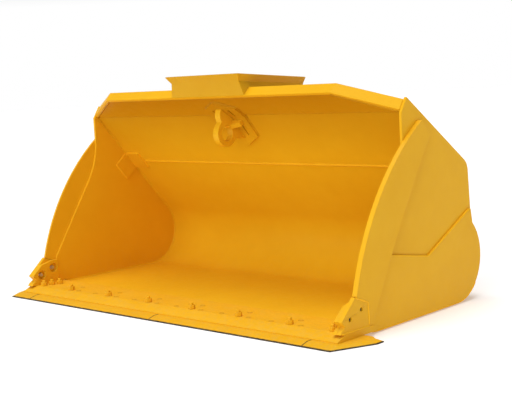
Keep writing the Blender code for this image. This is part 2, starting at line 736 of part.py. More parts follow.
# ---- hinges ------------------------------------------------------------------------------
def tangent_hull(front, pin):
    """Ear outline: the shell side as given, then round the pin boss."""
    first, last = Vector(front[0]), Vector(front[-1])
    centre = Vector(pin)

    def tangent(point, turn):
        offset = point - centre
        base = math.atan2(offset.y, offset.x)
        return math.degrees(base + turn * math.acos(BOSS_R / offset.length))

    start = tangent(last, -1)
    end = tangent(first, 1)
    while end > start:
        end -= 360.0
    return [*front, *arc(pin, BOSS_R, start, end, 14)]


def hinge(name, centre_x, gap, front, pin, bridge):
    """Pair of ears with pin bosses, tied by a bridge plate against the shell."""
    outline = tangent_hull(front, pin)
    hole = circle(pin, PIN_R, 24)
    inner, outer = gap / 2, gap / 2 + EAR_T
    body = side_slab(name, outline, centre_x + inner, centre_x + outer, [hole])
    parts = [side_slab(name + "_ear", outline, centre_x - outer, centre_x - inner, [hole]),
             side_slab(name + "_bridge", bridge, centre_x - inner - 0.010,
                       centre_x + inner + 0.010)]
    for side in (-1, 1):
        low, high = sorted((centre_x + side * (outer - 0.010), centre_x + side * (outer + BOSS_T)))
        parts.append(side_slab(f"{name}_boss_{side_name(side)}", circle(pin, BOSS_R - 0.02, 28),
                               low, high, [circle(pin, PIN_R, 24)]))
    for part in parts:
        finish(part, cutter=True)
        boolean(body, part, "UNION")
    return finish(body)


def lift_hinge(side):
    clear = HEEL_R + SHELL_T + GAP
    front = heel_arc(clear, 5, HEEL_STEPS) + [back(0.330, -SHELL_T - GAP)]
    bridge = heel_arc(clear + 0.0003, 10, 13) + [(1.330, 0.445), (1.392, 0.280)]
    return hinge("lift_hinge_" + side_name(side), side * LIFT_X, LIFT_GAP, front, LIFT_PIN, bridge)


def tilt_hinge():
    front = [back(0.120, -SHELL_T - GAP), back(0.560, -SHELL_T - GAP)]
    bridge = [back(0.170, -SHELL_T - 0.0006), back(0.500, -SHELL_T - 0.0006),
              back(0.500, -SHELL_T - 0.030), back(0.170, -SHELL_T - 0.030)]
    return hinge("tilt_hinge", 0.0, TILT_GAP, front, TILT_PIN, bridge)


# ---- wear strips -------------------------------------------------------------------------
def bottom_wear_strip(side):
    """Skid under the floor beside each side plate, rolled up round the heel."""
    strip_t = FLOOR_Z - SHELL_T - 2 * GAP
    low, high = 1.245, HALF_WIDTH - 0.0005
    clear = HEEL_R + SHELL_T + GAP
    inner = [(0.200, -SHELL_T - GAP), *heel_arc(clear, 0, 9)]
    outer = heel_arc(clear + strip_t, 0, 9)[::-1]
    outline = [*inner, *outer, (0.230, -SHELL_T - GAP - strip_t)]
    return finish(mirrored_slab("bottom_wear_strip_" + side_name(side), side, outline, low, high))


# ---- assembly ----------------------------------------------------------------------------
def build():
    clear_scene()
    collection(COLLECTION)
    collection(CUTTERS)
    lower_shell()
    back_panel()
    brow_panel()
    top_lip()
    cover_plate()
    box_rear_plate()
    base_edge()
    for side in (-1, 1):
        side_plate(side)
        side_bar(side)
        side_wear_plate(side)
        corner_plate(side)
        corner_block(side)
        for number, place in enumerate(SHOE_BOLTS, 1):
            shoe_bolt(side, number, place)
        centre_edge(side)
        end_bit(side)
        corner_gusset(side)
        lift_hinge(side)
        bottom_wear_strip(side)
    for number, place in enumerate(bolt_places(), 1):
        plow_bolt(number, place)
        nut(number, place)
    eye_pad()
    lifting_eye()
    spill_guard()
    tilt_hinge()


build()
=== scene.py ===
# %% [markdown]
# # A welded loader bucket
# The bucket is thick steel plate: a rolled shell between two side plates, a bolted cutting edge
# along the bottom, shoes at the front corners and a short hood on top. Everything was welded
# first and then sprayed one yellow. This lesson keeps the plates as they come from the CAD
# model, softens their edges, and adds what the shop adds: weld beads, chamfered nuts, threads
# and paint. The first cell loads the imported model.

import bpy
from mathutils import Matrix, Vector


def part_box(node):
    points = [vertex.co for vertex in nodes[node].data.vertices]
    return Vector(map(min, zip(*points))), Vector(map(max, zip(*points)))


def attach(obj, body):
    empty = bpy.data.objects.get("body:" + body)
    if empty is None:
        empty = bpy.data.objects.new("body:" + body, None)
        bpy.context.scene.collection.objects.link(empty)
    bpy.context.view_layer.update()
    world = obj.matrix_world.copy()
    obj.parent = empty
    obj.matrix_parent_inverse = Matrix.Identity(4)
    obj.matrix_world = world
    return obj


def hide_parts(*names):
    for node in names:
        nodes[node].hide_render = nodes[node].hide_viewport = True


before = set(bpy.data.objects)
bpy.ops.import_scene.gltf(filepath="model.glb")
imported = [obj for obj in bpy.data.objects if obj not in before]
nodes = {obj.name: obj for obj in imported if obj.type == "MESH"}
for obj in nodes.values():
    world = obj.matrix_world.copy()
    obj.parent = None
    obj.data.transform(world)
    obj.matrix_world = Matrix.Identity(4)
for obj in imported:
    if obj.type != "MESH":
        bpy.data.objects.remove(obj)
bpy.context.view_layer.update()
print("plates and bolts:", len(nodes))

# %% [markdown]
# The other modules come with Blender. `random` gets one fixed seed, so that the hand of the
# welder, the small unevenness of each bead, comes out the same on every run.

# %% Modules
import math
import random

import bmesh
import bpy
from mathutils import Matrix, Vector

hand = random.Random(343)

# %% [markdown]
# A fabricator reads a bucket by its profile: the floor is flat, the heel is rolled, the back
# leans forward and the brow leans further still. These few numbers, in metres, are that
# profile. `back(s, h)` is a point s up the back and h off it into the bucket, and `brow(t, h)`
# does the same on the brow. `place` turns a profile point into a point of the scene.

# %% The profile of the bucket
PROFILE_Y = 0.640          # from the profile's zero to the middle of the box
FLOOR_Z = 0.047            # top of the floor plate above the ground
HALF_WIDTH = 1.445         # to the outer face of a side plate
SHELL_HALF = 1.4277        # to the end of the shell plates
HEEL = Vector((1.046, 0.266))
HEEL_R = 0.266
BACK_LEAN = math.radians(49.0)
SEAM = 0.552               # seam between the rolled plate and the back plate
BEND = 1.026               # where the back meets the brow
BROW_LEAN = math.radians(32.3)
BROW_LENGTH = 0.257

BACK_DIR = Vector((-math.cos(BACK_LEAN), math.sin(BACK_LEAN)))
BACK_OUT = Vector((math.sin(BACK_LEAN), math.cos(BACK_LEAN)))
BACK_START = HEEL + HEEL_R * BACK_OUT
BROW_DIR = Vector((-math.cos(BROW_LEAN), math.sin(BROW_LEAN)))
BROW_OUT = Vector((math.sin(BROW_LEAN), math.cos(BROW_LEAN)))


def back(s, h=0.0):
    return BACK_START + s * BACK_DIR - h * BACK_OUT


def brow(t, h=0.0):
    return back(BEND) + t * BROW_DIR - h * BROW_OUT


def place(x, point):
    return Vector((x, point[0] - PROFILE_Y, point[1] + FLOOR_Z))


print("heel ends at", [round(v, 4) for v in BACK_START], "and the bend is at",
      [round(v, 4) for v in back(BEND)])

# %% [markdown]
# ## The paint
# One coat covers the whole bucket, a chrome yellow enamel sprayed over shot-blasted plate. It
# is never one flat colour: its tone wanders a little, fine orange peel catches the light, the
# plate under it is not quite flat, and the first dust settles low down. On top of that some
# coats carry painted shade or a painted highlight, said where each is made. A node tree says all
# of that from the position on the bucket, so no picture is needed.
# `Wiring` is a small helper that adds nodes and joins them, to keep each recipe readable.

# %% A helper for node trees
class Wiring:
    def __init__(self, name):
        self.material = bpy.data.materials.new(name)
        self.material.use_nodes = True
        self.tree = self.material.node_tree
        self.shader = self.tree.nodes["Principled BSDF"]
        self.here = self.add("ShaderNodeTexCoord").outputs["Object"]

    def add(self, kind, **settings):
        node = self.tree.nodes.new(kind)
        for key, value in settings.items():
            setattr(node, key, value)
        return node

    def join(self, source, target):
        self.tree.links.new(source, target)

    def noise(self, scale, detail=3.0, rough=0.5, stretch=None):
        node = self.add("ShaderNodeTexNoise")
        node.inputs["Scale"].default_value = scale
        node.inputs["Detail"].default_value = detail
        node.inputs["Roughness"].default_value = rough
        source = self.here
        if stretch:
            mapping = self.add("ShaderNodeMapping")
            mapping.inputs["Scale"].default_value = stretch
            self.join(source, mapping.inputs["Vector"])
            source = mapping.outputs["Vector"]
        self.join(source, node.inputs["Vector"])
        return node.outputs["Fac"]

    def spread(self, source, low, high, to_low=0.0, to_high=1.0):
        node = self.add("ShaderNodeMapRange")
        node.clamp = True
        node.inputs["From Min"].default_value = low
        node.inputs["From Max"].default_value = high
        node.inputs["To Min"].default_value = to_low
        node.inputs["To Max"].default_value = to_high
        self.join(source, node.inputs["Value"])
        return node.outputs["Result"]

    def math(self, operation, first, second):
        node = self.add("ShaderNodeMath", operation=operation)
        for socket, value in zip(node.inputs, (first, second)):
            if isinstance(value, (int, float)):
                socket.default_value = value
            else:
                self.join(value, socket)
        return node.outputs["Value"]

    def blend(self, amount, first, second):
        node = self.add("ShaderNodeMix", data_type="RGBA")
        self.join(amount, node.inputs["Factor"])
        for socket, value in ((node.inputs["A"], first), (node.inputs["B"], second)):
            if isinstance(value, tuple):
                socket.default_value = (*value, 1.0)
            else:
                self.join(value, socket)
        return node.outputs["Result"]

    def bump(self, height, distance, strength=1.0, under=None):
        node = self.add("ShaderNodeBump")
        node.inputs["Strength"].default_value = strength
        node.inputs["Distance"].default_value = distance
        self.join(height, node.inputs["Height"])
        if under:
            self.join(under, node.inputs["Normal"])
        return node.outputs["Normal"]


print("helper ready")

# %% [markdown]
# The enamel recipe. Colour: two slow noises move the yellow between a fresh and a deeper tone,
# and a thin film of pale dust gathers below knee height and on upward faces. Gloss: a finer
# noise makes some patches a touch duller, as overspray does. Relief: the long waves of rolled
# plate, then orange peel of about 3 mm, then the fine grain of the blasted steel. `lift` makes
# a whole coat lighter or darker, and some coats below use it for painted shade or a painted
# highlight; `green` leans it towards lemon. Two options are painted shade: `brow_shade` darkens
# the coat towards a deep orange high up under the brow, and `nose` paints the lowest 8 mm of the
# cutting edge near black, a painted contact shadow along the ground.

# %% The enamel
FRESH = (0.870, 0.470, 0.014)
DEEP = (0.830, 0.425, 0.010)
DUST = (0.700, 0.460, 0.120)
# painted shade: the deep orange the coat turns to high up under the brow
BROW_SHADE_TONE = (0.480, 0.175, 0.002)
# painted contact shadow: near black for the foot of the cutting edge
NOSE_CONTACT_SHADE = (0.024, 0.022, 0.020)


def enamel(name, gloss=0.40, peel=0.00022, waves=0.0016, dust=0.30, lift=1.0, green=1.0,
           brow_shade=0.0, nose=False):
    w = Wiring(name)
    slow = w.spread(w.noise(1.3, 2.0), 0.34, 0.66)
    patch = w.spread(w.noise(7.0, 4.0, 0.6), 0.35, 0.70)
    tone = w.math("MULTIPLY", w.math("ADD", slow, patch), 0.5)
    shift = (lift, lift * green, lift)
    fresh = tuple(min(1.0, v * k) for v, k in zip(FRESH, shift))
    deep = tuple(min(1.0, v * k) for v, k in zip(DEEP, shift))
    coat = w.blend(tone, deep, fresh)

    parts = w.add("ShaderNodeSeparateXYZ")
    w.join(w.here, parts.inputs["Vector"])
    if brow_shade:
        # painted shade under the brow: the coat darkens from 0.96 m up to 1.40 m
        under = w.spread(parts.outputs["Z"], 0.96, 1.40, 0.0, brow_shade)
        coat = w.blend(under, coat, BROW_SHADE_TONE)
    # painted contact shadow: the lowest 8 mm of the edge, with a ragged top, turns near black
    if nose:
        ragged = w.math("ADD", parts.outputs["Z"], w.math("MULTIPLY", w.noise(45.0), 0.0022))
        coat = w.blend(w.spread(ragged, 0.0078, 0.0094, 1.0, 0.0), coat, NOSE_CONTACT_SHADE)
    low = w.spread(parts.outputs["Z"], 0.02, 0.36, 1.0, 0.0)
    facing = w.add("ShaderNodeSeparateXYZ")
    w.join(w.add("ShaderNodeNewGeometry").outputs["Normal"], facing.inputs["Vector"])
    upward = w.spread(facing.outputs["Z"], 0.2, 0.95, 0.35, 1.0)
    specks = w.spread(w.noise(38.0, 5.0, 0.65), 0.42, 0.72)
    film = w.math("MULTIPLY", w.math("MULTIPLY", low, upward), w.math("MULTIPLY", specks, dust))
    w.join(w.blend(film, coat, DUST), w.shader.inputs["Base Color"])

    dull = w.spread(w.noise(22.0, 4.0, 0.6), 0.3, 0.7, gloss - 0.05, gloss + 0.07)
    w.join(w.math("ADD", dull, w.math("MULTIPLY", film, 0.5)), w.shader.inputs["Roughness"])

    plate = w.bump(w.noise(3.2, 1.0, 0.4, (0.5, 1.0, 1.0)), waves)
    skin = w.bump(w.noise(320.0, 2.0), peel, 0.8, plate)
    w.join(w.bump(w.noise(1400.0, 1.0), peel * 0.3, 0.5, skin), w.shader.inputs["Normal"])
    w.shader.inputs["Specular IOR Level"].default_value = 0.10
    return w.material


PLATE_PAINT = enamel("plate_enamel")
# the bowl's coat and the bowl beads' coat both carry the painted shade under the brow
BOWL_PAINT = enamel("bowl_enamel_brow_shade", waves=0.0014, dust=0.12, green=1.07, brow_shade=0.85)
# the cutting edge's coat carries the painted contact shadow along its foot
EDGE_PAINT = enamel("edge_enamel_contact_shade", gloss=0.42, peel=0.00030, waves=0.0008, dust=0.34, nose=True)
NUT_PAINT = enamel("nut_enamel", gloss=0.34, waves=0.0002, dust=0.20)
# painted highlight: the outside beads' coat is 12 per cent lighter, so they read as pale lines
BEAD_PAINT_HIGHLIT = enamel("bead_enamel", gloss=0.36, peel=0.00036, waves=0.0004, dust=0.16, lift=1.12)
BOWL_BEAD = enamel("bowl_bead_enamel_brow_shade", peel=0.00036, waves=0.0004, dust=0.10, green=1.07,
                   brow_shade=0.85)
# painted shade: the hood's whole coat is darkened, lift 0.82, so its front face reads shaded
HOOD_PAINT_SHADED = enamel("hood_enamel_painted_shade", gloss=0.42, lift=0.82)
# painted shade: the plugs' coat is darkened, lift 0.84, so they read as dark marks; the dust is
# real
PLUG_PAINT_SHADED = enamel("plug_enamel_painted_shade", gloss=0.46, peel=0.00030, waves=0.0002, dust=0.50, lift=0.84)
ENAMELS = (PLATE_PAINT, BOWL_PAINT, EDGE_PAINT, NUT_PAINT, BEAD_PAINT_HIGHLIT, BOWL_BEAD, HOOD_PAINT_SHADED,
           PLUG_PAINT_SHADED)
print("enamels:", [paint.name for paint in ENAMELS])

# %% [markdown]
# The four shoe bolts went in after painting, so they are bare zinc-plated steel: grey, with
# fine turned rings, cloudy patches in the plating and a warmer bloom here and there.

# %% The bolt steel and the painted shade black
def plated_steel():
    w = Wiring("plated_bolt_steel")
    cloud = w.spread(w.noise(60.0, 5.0, 0.6), 0.32, 0.68)
    bright, grey = (0.690, 0.675, 0.630), (0.430, 0.415, 0.385)
    metal = w.blend(cloud, grey, bright)
    rust = w.spread(w.noise(140.0, 6.0, 0.7), 0.62, 0.74, 0.0, 0.55)
    w.join(w.blend(rust, metal, (0.300, 0.165, 0.060)), w.shader.inputs["Base Color"])
    w.join(w.spread(cloud, 0.0, 1.0, 0.44, 0.26), w.shader.inputs["Roughness"])
    w.shader.inputs["Metallic"].default_value = 0.85
    fine = w.bump(w.noise(900.0, 2.0), 0.00012)
    w.join(w.bump(w.noise(90.0, 3.0), 0.0003, 0.6, fine), w.shader.inputs["Normal"])
    return w.material


# painted shade: this near-black stands in for the shade deep in the outer bolt holes and in the
# open joints of the cutting edge
def shade_black_steel():
    """Near-black painted shade, mottled a little, for the sunk bolt ends and the edge joints."""
    w = Wiring("painted_shade_black")
    mottle = w.spread(w.noise(120.0, 4.0, 0.6), 0.35, 0.65)
    w.join(w.blend(mottle, (0.030, 0.018, 0.008), (0.075, 0.042, 0.014)),
           w.shader.inputs["Base Color"])
    w.join(w.spread(mottle, 0.0, 1.0, 0.60, 0.42), w.shader.inputs["Roughness"])
    w.join(w.bump(w.noise(700.0, 3.0), 0.0002), w.shader.inputs["Normal"])
    return w.material


BOLT_STEEL = plated_steel()
# the second material is the painted shade black, not bare steel
SHADE_BLACK = shade_black_steel()
print("bare steel:", BOLT_STEEL.name, SHADE_BLACK.name)

# %% [markdown]
# ## Softening the plates
# Torch-cut plate is never razor sharp: the edge is dressed with a grinder and the paint rounds
# it further. A Bevel modifier does this without touching the mesh. The imported mesh is split
# along its sharp edges, so a small node group first merges the doubles and shades the rolled
# parts smooth, and keeps every edge above 30 degrees crisp for the bevel to find.

# %% Smooth shading as a modifier
def dressing_group():
    group = bpy.data.node_groups.new("dress_plate", "GeometryNodeTree")
    group.interface.new_socket("Geometry", in_out="INPUT", socket_type="NodeSocketGeometry")
    group.interface.new_socket("Geometry", in_out="OUTPUT", socket_type="NodeSocketGeometry")
    add = group.nodes.new
    entry, leave = add("NodeGroupInput"), add("NodeGroupOutput")
    forget = add("GeometryNodeRemoveAttribute")
    forget.inputs["Name"].default_value = "custom_normal"
    merge = add("GeometryNodeMergeByDistance")
    merge.inputs["Distance"].default_value = 0.00005
    faces = add("GeometryNodeSetShadeSmooth")
    edges = add("GeometryNodeSetShadeSmooth")
    edges.domain = "EDGE"
    edges.inputs["Shade Smooth"].default_value = False
    angle = add("GeometryNodeInputMeshEdgeAngle")
    sharp = add("FunctionNodeCompare")
    sharp.operation = "GREATER_THAN"
    sharp.inputs["B"].default_value = math.radians(30.0)
    chain = [entry, forget, merge, faces, edges, leave]
    for first, second in zip(chain, chain[1:]):
        group.links.new(first.outputs[0], second.inputs[0])
    group.links.new(angle.outputs["Unsigned Angle"], sharp.inputs["A"])
    group.links.new(sharp.outputs[0], edges.inputs["Selection"])
    return group


DRESSING = dressing_group()


def dress(plate, width):
    plate.modifiers.new("dress", "NODES").node_group = DRESSING
    if width:
        soft = plate.modifiers.new("edge", "BEVEL")
        soft.width = width
        soft.segments = 2
        soft.limit_method = "ANGLE"
        soft.angle_limit = math.radians(32.0)
        soft.use_clamp_overlap = True
        soft.harden_normals = True


print("dressing:", DRESSING.name)

# %% [markdown]
# Each CAD plate now gets its paint and an edge radius that suits it: 1.5 mm on thin plate,
# about 2 mm on bars, shoes and the cutting edge, and 4 mm on the flame-cut hinge ears. The
# rolled floor and the lifting lug keep their edges as they are, because welds cover them.

# %% Paint and dress the plates
FINISHES = {
    "floor_and_heel_plate": (BOWL_PAINT, 0.0), "back_plate": (BOWL_PAINT, 0.0015),
    "brow_plate": (BOWL_PAINT, 0.0015), "top_lip": (PLATE_PAINT, 0.0025),
    "top_cover_plate": (PLATE_PAINT, 0.0015), "top_box_plate": (PLATE_PAINT, 0.0015),
    "side_plate": (PLATE_PAINT, 0.0020), "side_bar": (PLATE_PAINT, 0.0022),
    "side_wear_plate": (PLATE_PAINT, 0.0020), "corner_plate": (PLATE_PAINT, 0.0025),
    "corner_block": (PLATE_PAINT, 0.0020), "base_edge": (EDGE_PAINT, 0.0020),
    "centre_edge": (EDGE_PAINT, 0.0016), "end_bit": (EDGE_PAINT, 0.0016),
    "eye_pad": (BOWL_PAINT, 0.0020), "lifting_eye": (PLATE_PAINT, 0.0),
    "corner_gusset": (PLATE_PAINT, 0.0020), "spill_guard": (HOOD_PAINT_SHADED, 0.0020),
    "lift_hinge": (PLATE_PAINT, 0.0040), "tilt_hinge": (PLATE_PAINT, 0.0040),
    "bottom_wear_strip": (PLATE_PAINT, 0.0020), "plow_bolt": (NUT_PAINT, 0.0008),
    "edge_nut": (NUT_PAINT, 0.0008), "corner_bolt": (BOLT_STEEL, 0.0008),
}


def family(name):
    """The longest finish key that the node's name starts with."""
    return max((key for key in FINISHES if name.startswith(key)), key=len)


for name, node in nodes.items():
    paint, width = FINISHES[family(name)]
    for coat in node.material_slots:
        coat.material = paint
    dress(node, width)
print("dressed:", len(nodes), "nodes in", len(FINISHES), "families")

# %% [markdown]
# ## Building pieces
# Every added piece is written as a mesh, takes the yellow paint's slot, and rides on the
# bucket's only body. `piece` does that for all of them. `turned` spins a list of (radius,
# height) pairs about an axis, as a lathe would, and `axes` gives the two directions across it.

# %% Helpers for new pieces
MADE = []


def piece(name, bm, paint, smooth=40.0):
    bmesh.ops.recalc_face_normals(bm, faces=bm.faces)
    mesh = bpy.data.meshes.new(name)
    bm.to_mesh(mesh)
    bm.free()
    mesh.materials.append(paint)
    if smooth:
        mesh.shade_smooth()
        mesh.set_sharp_from_angle(angle=math.radians(smooth))
    made = bpy.data.objects.new(name, mesh)
    bpy.context.scene.collection.objects.link(made)
    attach(made, "root")
    MADE.append(made)
    return made


def axes(along):
    along = along.normalized()
    helper = Vector((0, 0, 1)) if abs(along.z) < 0.9 else Vector((1, 0, 0))
    across = helper.cross(along).normalized()
    return along, across, along.cross(across)


def skin(bm, rings, cap=True):
    """Quads between neighbouring rings of points, with filled ends."""
    loops = [[bm.verts.new(point) for point in ring] for ring in rings]
    count = len(loops[0])
    for lower, upper in zip(loops, loops[1:]):
        for i in range(count):
            j = (i + 1) % count
            bm.faces.new((lower[i], lower[j], upper[j], upper[i]))
    if cap:
        bm.faces.new(loops[0])
        bm.faces.new(loops[-1])


def turned(bm, rings, start, along, steps, ripple=None):
    """A turned body: ripple may change the radius by angle, as the flats of a hexagon do."""
    along, across, up = axes(along)
    loops = []
    for radius, height in rings:
        loop = []
        for i in range(steps):
            angle = 2 * math.pi * i / steps
            reach, rise = ripple(angle, radius, height) if ripple else (radius, height)
            side = math.cos(angle) * across + math.sin(angle) * up
            loop.append(start + reach * side + rise * along)
        loops.append(loop)
    skin(bm, loops)


print("builders ready")

# %% [markdown]
# ## Weld beads
# A bead is a convex string of overlapping puddles, 10 to 20 mm wide on plate this thick. It
# could be a bump in the paint, but a real bead also rounds the corner between two plates and
# catches a line of light, so it is modelled: a seven-sided tube swept along the seam and half
# sunk in it. Every other ring is a little smaller, which gives the ripple, and a small random
# change of size and line gives the hand of the welder. Both ends die away to a point.

# %% The bead maker
RIPPLE = 0.009             # from one puddle to the next
BEAD_SIDES = 7
SIZE_ERROR = 0.07          # how far the hand lets the size of a puddle stray
LINE_ERROR = 0.0004        # and its place
bead_length = []


def walk(points, step):
    """Evenly spaced stations along a line of straight runs."""
    points = [Vector(p) for p in points]
    lengths = [(b - a).length for a, b in zip(points, points[1:])]
    total = sum(lengths)
    count = max(4, int(round(total / step)))
    stations = []
    for i in range(count + 1):
        left = total * i / count
        for (a, b), length in zip(zip(points, points[1:]), lengths):
            if left <= length + 1e-9:
                stations.append(a.lerp(b, left / length))
                break
            left -= length
        else:
            stations.append(points[-1].copy())
    return stations, total


def bead(bm, points, radius):
    stations, total = walk(points, RIPPLE / 2)
    bead_length.append(total)
    last = len(stations) - 1
    rings = []
    for i, spot in enumerate(stations):
        ahead = stations[min(i + 1, last)] - stations[max(i - 1, 0)]
        _, across, up = axes(ahead)
        puddle = 1.0 if i % 2 else 0.84
        fade = min(1.0, 0.25 + 0.28 * min(i, last - i))
        size = radius * puddle * fade * hand.uniform(1.0 - SIZE_ERROR, 1.0 + SIZE_ERROR)
        drift = Vector([hand.uniform(-LINE_ERROR, LINE_ERROR) for _ in range(3)])
        ring = []
        for k in range(BEAD_SIDES):
            angle = 2 * math.pi * (k + 0.5) / BEAD_SIDES
            ring.append(spot + drift + size * (math.cos(angle) * across + math.sin(angle) * up))
        rings.append(ring)
    skin(bm, rings)


# beads take the lightened coat, a painted highlight, unless another paint is given
def beads(name, runs, radius=0.006, paint=BEAD_PAINT_HIGHLIT):
    bm = bmesh.new()
    for points in runs:
        bead(bm, points, radius)
    return piece(name, bm, paint, smooth=60.0)


print("ripple every", RIPPLE * 1000, "mm")

# %% [markdown]
# The long seam across the back joins the rolled lower plate to the flat back plate. It is the
# one bead that everybody notices, a pale line from gusset to gusset: partly its crown catching
# the light, partly its paint, which is lightened as a painted highlight. The rear of the base
# edge and the foot of the lip get straight runs too, and the cut-off corners of the brow are
# welded to the sloping ends of the lip. The brow meets the back in a wide joint that is ground
# almost flush, so its bead sits deep and only its crown shows.

# %% Beads across the bucket
SPAN = SHELL_HALF - 0.010              # where the runs along the floor stop
GUSSET_REACH = SHELL_HALF - 0.160      # where the seam goes under the gussets
LIP_HALF = 1.040                       # the straight part of the lip
EDGE_REAR_Y = 0.1605                   # rear of the base edge
FLUSH = -0.0116                        # depth of the ground joint under the surface

seam_ends = [place(-GUSSET_REACH, back(SEAM)), place(GUSSET_REACH, back(SEAM))]
beads("bead_back_seam", [seam_ends], 0.0098)
corner_seams = [[place(side * (LIP_HALF + 0.008), brow(0.2310)),
                 place(side * 1.4265, brow(0.0068))] for side in (-1, 1)]
beads("bead_brow_corners", corner_seams, 0.0072, BOWL_BEAD)
fold = [[place(side * 0.150, back(BEND, FLUSH)), place(side * 1.418, back(BEND, FLUSH))]
        for side in (-1, 1)]
beads("bead_brow_bend", fold, 0.0120, BOWL_BEAD)
edge_rear = [place(-SPAN, (EDGE_REAR_Y, 0.0010)), place(SPAN, (EDGE_REAR_Y, 0.0010))]
beads("bead_edge_rear", [edge_rear], 0.0070)
lip_back = brow(BROW_LENGTH - 0.0262, -0.0020)
beads("bead_lip_root", [[place(-LIP_HALF, lip_back), place(LIP_HALF, lip_back)]], 0.0045,
      BOWL_BEAD)
print("straight seams:", len(bead_length), "runs,", round(sum(bead_length), 2), "m")

# %% [markdown]
# The side plates are welded to the shell all the way round, along the floor, round the heel and
# up the back. The heel is an arc, so the path takes a point every few degrees.

# %% Beads in the corners of the bowl
def shell_line(x, lift=0.0):
    """Along the inside corner, from the base edge to the underside of the brow."""
    path = [place(x, (0.175, lift)), place(x, (HEEL.x, lift))]
    for i in range(1, 25):
        angle = math.radians(-90.0 + (180.0 - 49.0) * i / 24)
        out = Vector((math.cos(angle), math.sin(angle)))
        path.append(place(x, HEEL + (HEEL_R - lift) * out))
    path.append(place(x, back(BEND - 0.004, lift)))
    return path


for side, word in ((-1, "left"), (1, "right")):
    beads("bead_bowl_corner_" + word, [shell_line(side * (SHELL_HALF - 0.0005), 0.0010)], 0.0078,
          BOWL_BEAD)
print("corner beads are", round(bead_length[-1], 2), "m each")

# %% [markdown]
# The pieces welded onto the inside each get a bead round their edge: the two folded gussets
# that cover the ends of the seam, and the long six-sided pad under the lifting eye.

# %% Beads round the gussets and the pad
GUSSET_LOW, GUSSET_HIGH = 0.483, 0.640
ON_SIDE, ON_BACK, GUSSET_T = 0.137, 0.155, 0.012
PAD_HALF = 0.146


def gusset_runs(side):
    wall = side * (SHELL_HALF - 0.0004)
    runs = []
    side_path = [(wall, GUSSET_LOW, GUSSET_T), (wall, GUSSET_LOW, ON_SIDE),
                 (wall, GUSSET_HIGH, ON_SIDE), (wall, GUSSET_HIGH, GUSSET_T)]
    runs.append([place(x, back(s, h)) for x, s, h in side_path])
    near, far = side * (SHELL_HALF - GUSSET_T), side * (SHELL_HALF - ON_BACK)
    back_path = [(near, GUSSET_LOW), (far, GUSSET_LOW), (far, GUSSET_HIGH), (near, GUSSET_HIGH)]
    runs.append([place(x, back(s, 0.0012)) for x, s in back_path])
    return runs


def pad_runs():
    right = [(0.0, back(0.748, 0.001)), (PAD_HALF, back(0.838, 0.001)),
             (PAD_HALF, back(BEND, 0.001)), (PAD_HALF, brow(0.108, 0.001)),
             (0.0, brow(0.196, 0.001))]
    return [[place(x, p) for x, p in right], [place(-x, p) for x, p in right]]


for side, word in ((-1, "left"), (1, "right")):
    beads("bead_gusset_" + word, gusset_runs(side), 0.0056)
beads("bead_eye_pad", pad_runs(), 0.0060, BOWL_BEAD)
print("beads so far:", round(sum(bead_length), 1), "m")

# %% [markdown]
# The lifting lug stands on its edge across the pad, with a fillet down each side of its root
# and one along each of the two ribs, all of the same size.

# %% Beads at the root of the lifting eye
PAD_T = 0.0185
LUG_FACE = 0.0245
RIB_END = 0.099
RIB_FACES = (0.9745, 0.9995)
fold_point = back(BEND) - PAD_T * (BACK_OUT + BROW_OUT) / (1.0 + BACK_OUT.dot(BROW_OUT))
eye_runs = []
for side in (-1, 1):
    x = side * LUG_FACE
    for first, second in ((0.826, 0.972), (1.001, None)):
        path = [place(x, back(first, PAD_T))]
        if second:
            path.append(place(x, back(second, PAD_T)))
        else:
            path += [place(x, fold_point), place(x, brow(0.122, PAD_T))]
        eye_runs.append(path)
    for s in RIB_FACES:
        eye_runs.append([place(x, back(s, PAD_T)), place(side * RIB_END, back(s, PAD_T))])
beads("bead_eye_root", eye_runs, 0.0056, BOWL_BEAD)
print("runs at the eye:", len(eye_runs))

# %% [markdown]
# Outside, the curved bar is welded along its rear edge and over its top end, the wear plate
# along its stepped top edge and its foot, and the shoe along its seam with the bar. The bar's
# rear is an arc of nearly eight metres' radius and its nose one of 1.6 m, so the beads are read
# from those circles: the middle of each, along and up, and its radius.

# %% Beads on the sides
REAR_ARC = (7.1364, -3.5745, 7.8538)
NOSE_ARC = (1.5505, -0.2093, 1.6119)
OUTER_HEEL, OUTER_HEEL_R = Vector((1.076, 0.2515)), 0.286
BAR_LOW, BAR_HIGH, BAR_TOP = 0.3900, 1.063, 1.160


def on_arc(arc, z):
    along, height, radius = arc
    return along - math.sqrt(radius ** 2 - (z - height) ** 2)


def heel_edge(degrees):
    """A point on the round rear corner of the side plate."""
    angle = math.radians(degrees)
    return OUTER_HEEL + OUTER_HEEL_R * Vector((math.cos(angle), math.sin(angle)))


def side_runs(side):
    x = side * (HALF_WIDTH + 0.0008)
    steps = [BAR_LOW + (BAR_HIGH - BAR_LOW) * i / 12 for i in range(13)]
    bar = [place(x, (on_arc(REAR_ARC, z) + 0.0006, z)) for z in steps]
    bar.append(place(x, (on_arc(NOSE_ARC, BAR_TOP) + 0.010, BAR_TOP + 0.0005)))
    top_edge = ((on_arc(REAR_ARC, 0.3825) + 0.006, 0.3842), (0.752, 0.3170), (0.774, 0.3226),
                (1.256, 0.5546))
    wear = [place(x + side * 0.0055, p) for p in top_edge]
    rear = [place(x, heel_edge(46.0 - 60.0 * i / 8)) for i in range(9)]
    rim = side * (HALF_WIDTH + 0.0125)
    foot = [place(rim, (0.170, -0.0345)), place(rim, (OUTER_HEEL.x, -0.0345))]
    foot += [place(rim, heel_edge(-90.0 + 50.0 * i / 8)) for i in range(1, 9)]
    return [bar, rear, foot], [wear]


